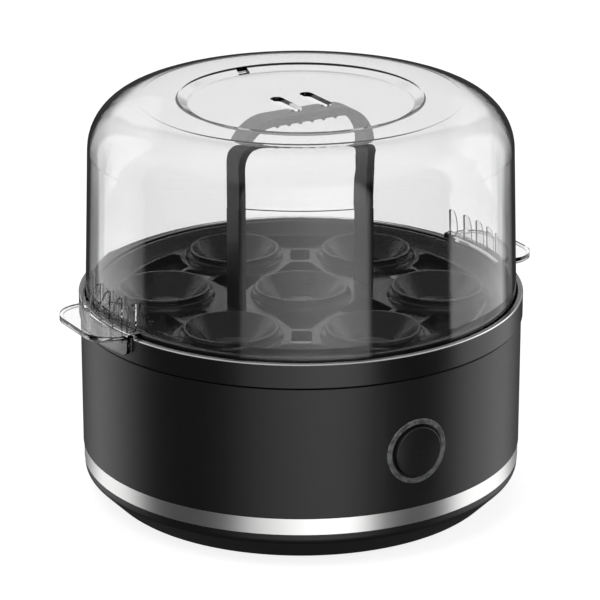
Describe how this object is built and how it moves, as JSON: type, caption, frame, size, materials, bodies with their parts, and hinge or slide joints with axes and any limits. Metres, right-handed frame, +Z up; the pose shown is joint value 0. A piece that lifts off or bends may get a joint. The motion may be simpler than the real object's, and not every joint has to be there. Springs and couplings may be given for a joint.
{
  "type": "electric egg cooker",
  "caption": "Round electric egg cooker: black base with heating dish and push button, lift-out cup tray with strap handle, clear domed lid with side ears.",
  "frame": {"origin": "on the floor under the centre of the round base", "axes": "+Z up, -Y towards the push button, +Y towards the cable entry, X through the lid's two ears"},
  "size_m": [0.2076, 0.1823, 0.1674],
  "materials": {
    "housing_black": "satin moulded black plastic",
    "ring_black": "satin moulded black plastic, polished bevel",
    "cover_black": "satin moulded black plastic",
    "band_steel": "fine brushed stainless steel",
    "foot_rubber": "soft black rubber",
    "bush_rubber": "black rubber",
    "seal_silicone": "dark grey silicone",
    "screw_steel": "zinc plated steel",
    "dish_steel": "satin stainless steel",
    "clamp_steel": "galvanised steel sheet",
    "spreader_aluminium": "mill finish",
    "element_sheath": "heat-darkened steel tube",
    "insulator_white": "unglazed white ceramic",
    "tab_brass": "tinned brass",
    "thermostat_body": "brown phenolic moulding",
    "fuse_sleeve": "white glass fibre sleeve",
    "light_ring_grey": "translucent smoke grey, frosted",
    "button_black": "satin black plastic",
    "holder_black": "black plastic",
    "board_green": "green solder mask",
    "led_clear": "clear epoxy",
    "switch_white": "white nylon",
    "spring_steel": "bright spring wire",
    "wire_brown": "brown insulated wire",
    "wire_blue": "blue insulated wire",
    "wire_green": "green and yellow insulated wire",
    "tray_black": "glossy black moulding",
    "handle_black": "satin black moulding",
    "lid_clear": "clear water-white moulding"
  },
  "bodies": {
    "base": {"outer_housing": "housing_black", "pan_ring": "ring_black", "steel_band": "band_steel", "bottom_cover": "cover_black", "rubber_feet": "foot_rubber", "cover_screws": "screw_steel", "heating_dish": "dish_steel", "dish_seal": "seal_silicone", "dish_clamp_ring": "clamp_steel", "clamp_screws": "screw_steel", "heat_spreader": "spreader_aluminium", "heating_element": "element_sheath", "element_insulators": "insulator_white", "element_tabs": "tab_brass", "thermostat": "thermostat_body", "thermostat_bracket": "clamp_steel", "bracket_screws": "screw_steel", "thermal_fuse": "fuse_sleeve", "fuse_clip": "clamp_steel", "light_ring": "light_ring_grey", "button_holder": "holder_black", "holder_screws": "screw_steel", "led_board": "board_green", "leds": "led_clear", "switch_body": "switch_white", "switch_blades": "tab_brass", "button_spring": "spring_steel", "cord_bush": "bush_rubber", "terminal_block": "switch_white", "terminal_screws": "screw_steel", "supply_wire": "wire_brown", "switched_wire": "wire_brown", "fuse_wire": "wire_brown", "element_wire": "wire_brown", "neutral_wire": "wire_blue", "earth_wire": "wire_green"},
    "button": {"button_cap": "button_black", "switch_plunger": "switch_white"},
    "tray": {"egg_tray": "tray_black", "tray_handle": "handle_black"},
    "lid": {"lid": "lid_clear"}
  },
  "joints": [
    {"name": "button_press", "type": "slide", "parent": "base", "child": "button", "axis": [0, 1, 0], "range_m": [0, 0.0025], "stiffness_N_per_m": 400, "springref_m": -0.004, "deforming": ["button_spring"]},
    {"name": "tray_lift", "type": "slide", "parent": "base", "child": "tray", "axis": [0, 0, 1], "range_m": [0, 0.1]},
    {"name": "lid_lift", "type": "slide", "parent": "tray", "child": "lid", "axis": [0, 0, 1], "range_m": [0, 0.12]}
  ]
}
